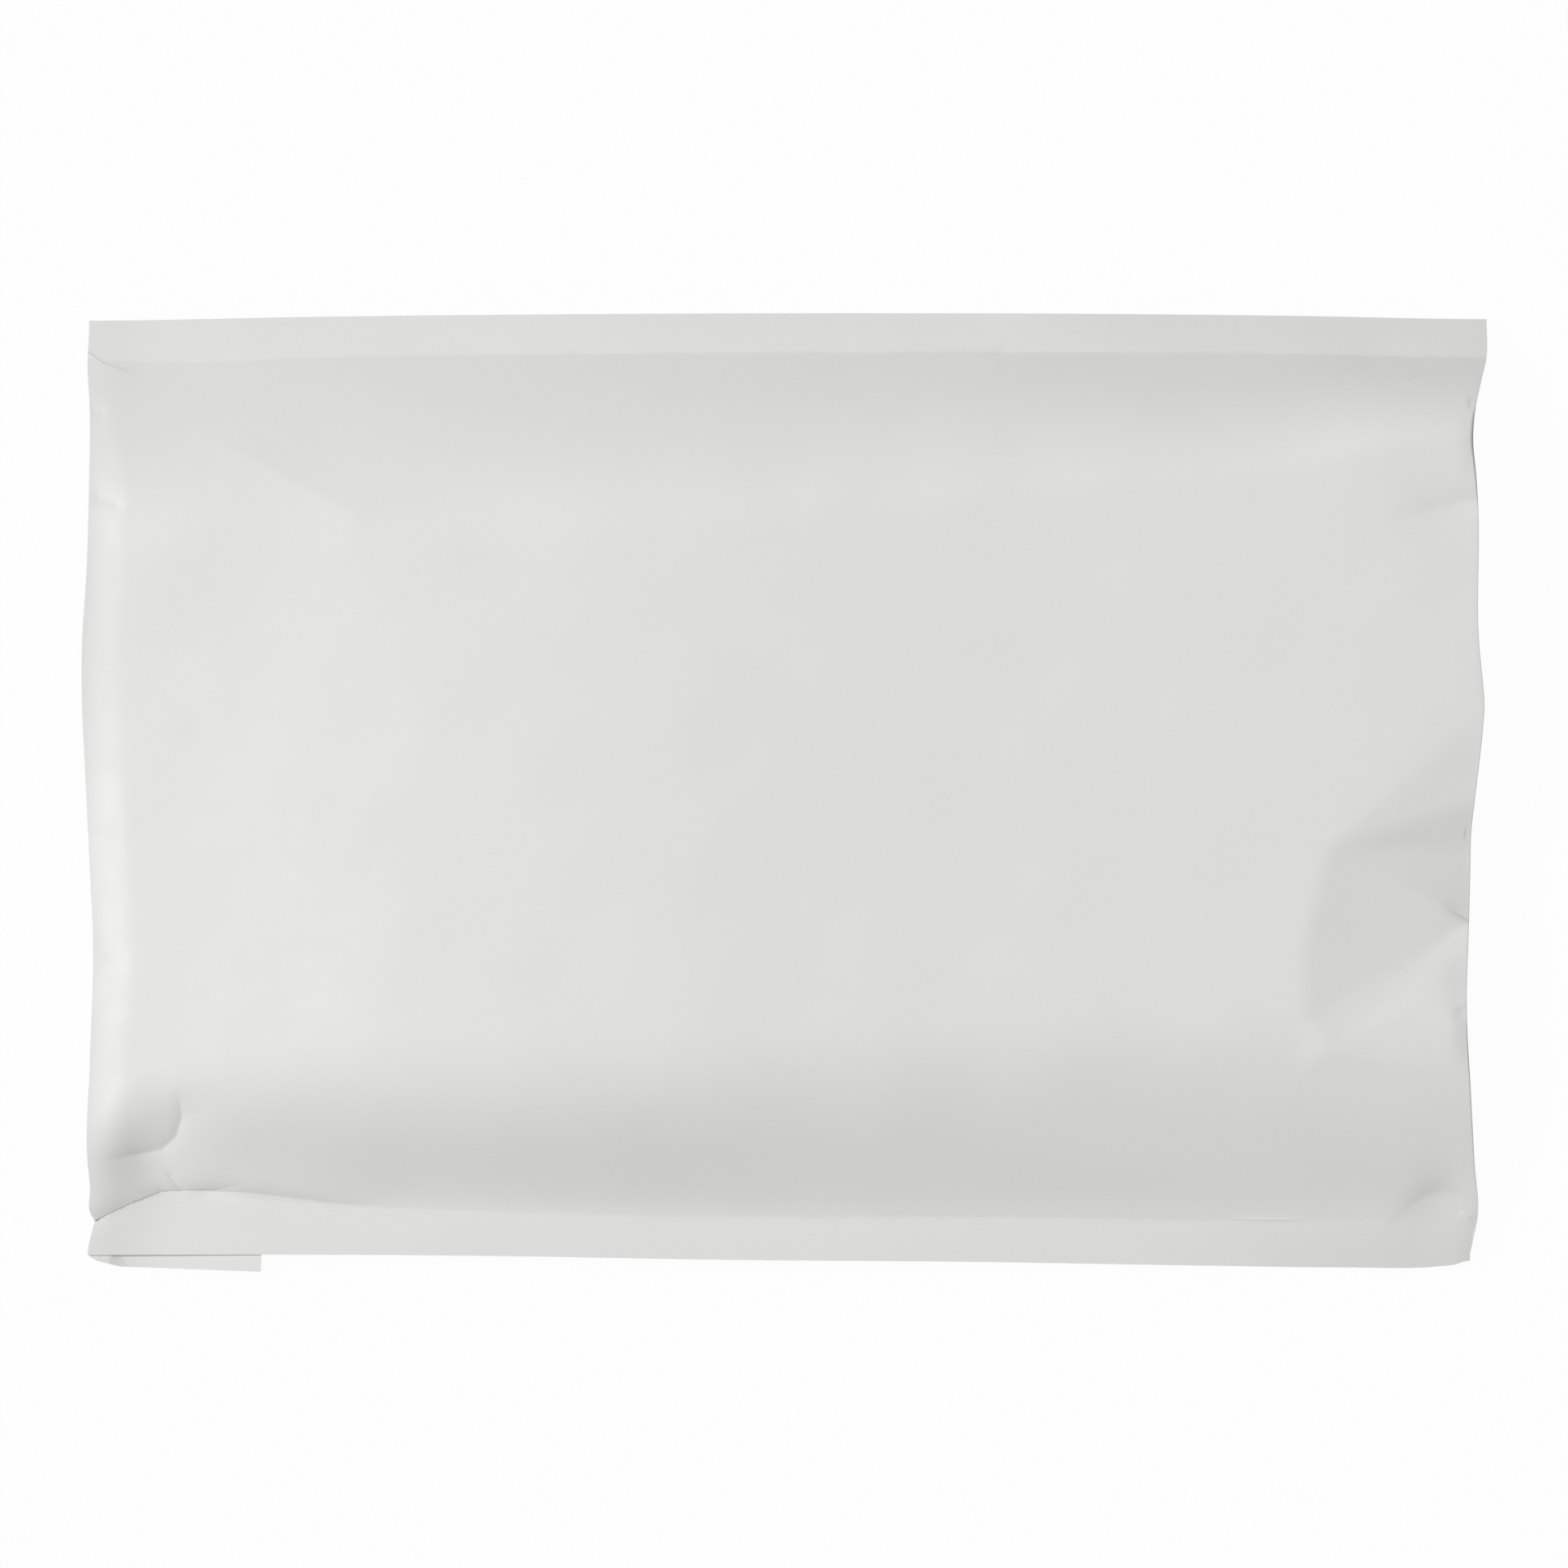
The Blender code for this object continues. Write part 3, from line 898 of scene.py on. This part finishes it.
def thin_out(obj):
    """Keeps the finest facets for the creases and fewer for the flat places."""
    modifier = obj.modifiers.new("thin_out", "DECIMATE")
    modifier.ratio = KEPT_SHARE
    graph = bpy.context.evaluated_depsgraph_get()
    thinned = bpy.data.meshes.new_from_object(obj.evaluated_get(graph))
    obj.modifiers.clear()
    obj.data = thinned


def noise(nodes, links, scale_and_detail):
    """A noise texture fixed to the object, as its value from 0 to 1."""
    place = nodes.new("ShaderNodeTexCoord")
    texture = nodes.new("ShaderNodeTexNoise")
    texture.inputs["Scale"].default_value, texture.inputs["Detail"].default_value = (
        scale_and_detail
    )
    links.new(place.outputs["Object"], texture.inputs["Vector"])
    return texture.outputs["Fac"]


def mapped(nodes, links, value, source, target):
    """A value carried from one range to another, held at its ends."""
    node = nodes.new("ShaderNodeMapRange")
    node.inputs["From Min"].default_value, node.inputs["From Max"].default_value = source
    node.inputs["To Min"].default_value, node.inputs["To Max"].default_value = target
    links.new(value, node.inputs["Value"])
    return node.outputs["Result"]


def mixed(nodes, links, share, first, second):
    """A colour between two, the first where the share is 0; first may be an output."""
    node = nodes.new("ShaderNodeMix")
    node.data_type = "RGBA"
    links.new(share, node.inputs["Factor"])
    if isinstance(first, tuple):
        node.inputs["A"].default_value = (*first, 1)
    else:
        links.new(first, node.inputs["A"])
    node.inputs["B"].default_value = (*second, 1)
    return node.outputs["Result"]


def bumped(nodes, links, height, strength_and_distance, under=None):
    """A normal bumped by a height, on top of another bump if one is given."""
    node = nodes.new("ShaderNodeBump")
    node.inputs["Strength"].default_value, node.inputs["Distance"].default_value = (
        strength_and_distance
    )
    links.new(height, node.inputs["Height"])
    if under is not None:
        links.new(under, node.inputs["Normal"])
    return node.outputs["Normal"]


def white_paper():
    """Smooth white paper: faint cloudiness, a few specks, fine fibres and slight cockling."""
    material = bpy.data.materials.new("white_paper")
    material.use_nodes = True
    nodes = material.node_tree.nodes
    links = material.node_tree.links
    shader = nodes["Principled BSDF"]
    clouds = mapped(nodes, links, noise(nodes, links, CLOUD_NOISE), CLOUD_RANGE, (0, 1))
    colour = mixed(nodes, links, clouds, PAPER_SHADE, PAPER_COLOUR)
    specks = mapped(nodes, links, noise(nodes, links, SPECK_NOISE), SPECK_RANGE, (0, 1))
    colour = mixed(nodes, links, specks, colour, SPECK_COLOUR)
    links.new(colour, shader.inputs["Base Color"])
    unevenness = noise(nodes, links, GLOSS_NOISE)
    roughness = mapped(nodes, links, unevenness, GLOSS_RANGE, PAPER_ROUGHNESS)
    links.new(roughness, shader.inputs["Roughness"])
    normal = bumped(nodes, links, noise(nodes, links, COCKLE_NOISE), COCKLE_BUMP)
    normal = bumped(nodes, links, noise(nodes, links, FIBRE_NOISE), FIBRE_BUMP, normal)
    links.new(normal, shader.inputs["Normal"])
    return material


def envelope():
    meshes = [body_mesh(), flap_mesh()]
    centre(meshes)
    body, flap = (add_object(mesh) for mesh in meshes)
    paper = white_paper()
    thin_out(body)
    for piece in (body, flap):
        piece.data.materials.clear()
        piece.data.materials.append(paper)
        piece.data.shade_smooth()
        piece.data.set_sharp_from_angle(angle=np.radians(SHARP_DEGREES))
        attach(piece, "root")
    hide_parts("padded_envelope")


def floor():
    half = FLOOR_HALF_SIZE
    corners = [(-half, -half, 0), (half, -half, 0), (half, half, 0), (-half, half, 0)]
    mesh = bpy.data.meshes.new("floor")
    mesh.from_pydata(corners, [], [(0, 1, 2, 3)])
    obj = add_object(mesh)
    material = bpy.data.materials.new("white_floor")
    material.use_nodes = True
    nodes = material.node_tree.nodes
    links = material.node_tree.links
    nodes.clear()
    lit = nodes.new("ShaderNodeBsdfDiffuse")
    lit.inputs["Color"].default_value = (FLOOR_GREY, FLOOR_GREY, FLOOR_GREY, 1)
    white = nodes.new("ShaderNodeEmission")
    white.inputs["Strength"].default_value = 1.0
    seen = nodes.new("ShaderNodeMath")
    seen.operation = "MULTIPLY"
    seen.inputs[1].default_value = FLOOR_GLOW
    links.new(seen_rays(nodes, links), seen.inputs[0])
    mix = nodes.new("ShaderNodeMixShader")
    links.new(seen.outputs[0], mix.inputs["Fac"])
    links.new(lit.outputs["BSDF"], mix.inputs[1])
    links.new(white.outputs["Emission"], mix.inputs[2])
    out = nodes.new("ShaderNodeOutputMaterial")
    links.new(mix.outputs["Shader"], out.inputs["Surface"])
    mesh.materials.append(material)


def seen_rays(nodes, links):
    """1 for rays that come from the camera, or from it through gloss or glass."""
    path = nodes.new("ShaderNodeLightPath")
    seen = path.outputs["Is Camera Ray"]
    for kind in ("Is Glossy Ray", "Is Transmission Ray"):
        either = nodes.new("ShaderNodeMath")
        either.operation = "MAXIMUM"
        links.new(seen, either.inputs[0])
        links.new(path.outputs[kind], either.inputs[1])
        seen = either.outputs[0]
    return seen


def white_world():
    world = bpy.data.worlds.new("white_world")
    world.use_nodes = True
    nodes = world.node_tree.nodes
    links = world.node_tree.links
    light = nodes["Background"]
    light.inputs["Color"].default_value = (1, 1, 1, 1)
    light.inputs["Strength"].default_value = WORLD_STRENGTH
    seen = nodes.new("ShaderNodeBackground")
    seen.inputs["Color"].default_value = (1, 1, 1, 1)
    seen.inputs["Strength"].default_value = 1.0
    mix = nodes.new("ShaderNodeMixShader")
    links.new(seen_rays(nodes, links), mix.inputs["Fac"])
    links.new(light.outputs["Background"], mix.inputs[1])
    links.new(seen.outputs["Background"], mix.inputs[2])
    links.new(mix.outputs["Shader"], nodes["World Output"].inputs["Surface"])
    bpy.context.scene.world = world


def sun(name, tilt, turn, strength, angle):
    data = bpy.data.lights.new(name, "SUN")
    data.energy = strength
    data.angle = np.radians(angle)
    lamp = add_object(data)
    lamp.rotation_euler = (0, np.radians(tilt), np.radians(turn))


def camera():
    data = bpy.data.cameras.new("camera")
    data.sensor_width = SENSOR_WIDTH_MM
    seen_width = PHOTO_PIXELS / PIXELS_PER_METRE
    data.lens = SENSOR_WIDTH_MM * CAMERA_HEIGHT / seen_width
    data.clip_end = CAMERA_SIGHT * CAMERA_HEIGHT
    obj = add_object(data)
    middle = PHOTO_PIXELS / 2
    obj.location = (
        (middle - MIDDLE_PIXEL_X) / PIXELS_PER_METRE,
        (MIDDLE_PIXEL_Y - middle) / PIXELS_PER_METRE,
        CAMERA_HEIGHT,
    )
    bpy.context.scene.camera = obj


envelope()
floor()
white_world()
sun("key", KEY_TILT, KEY_TURN, KEY_STRENGTH, KEY_ANGLE)
camera()
bpy.context.scene.view_settings.view_transform = "Standard"
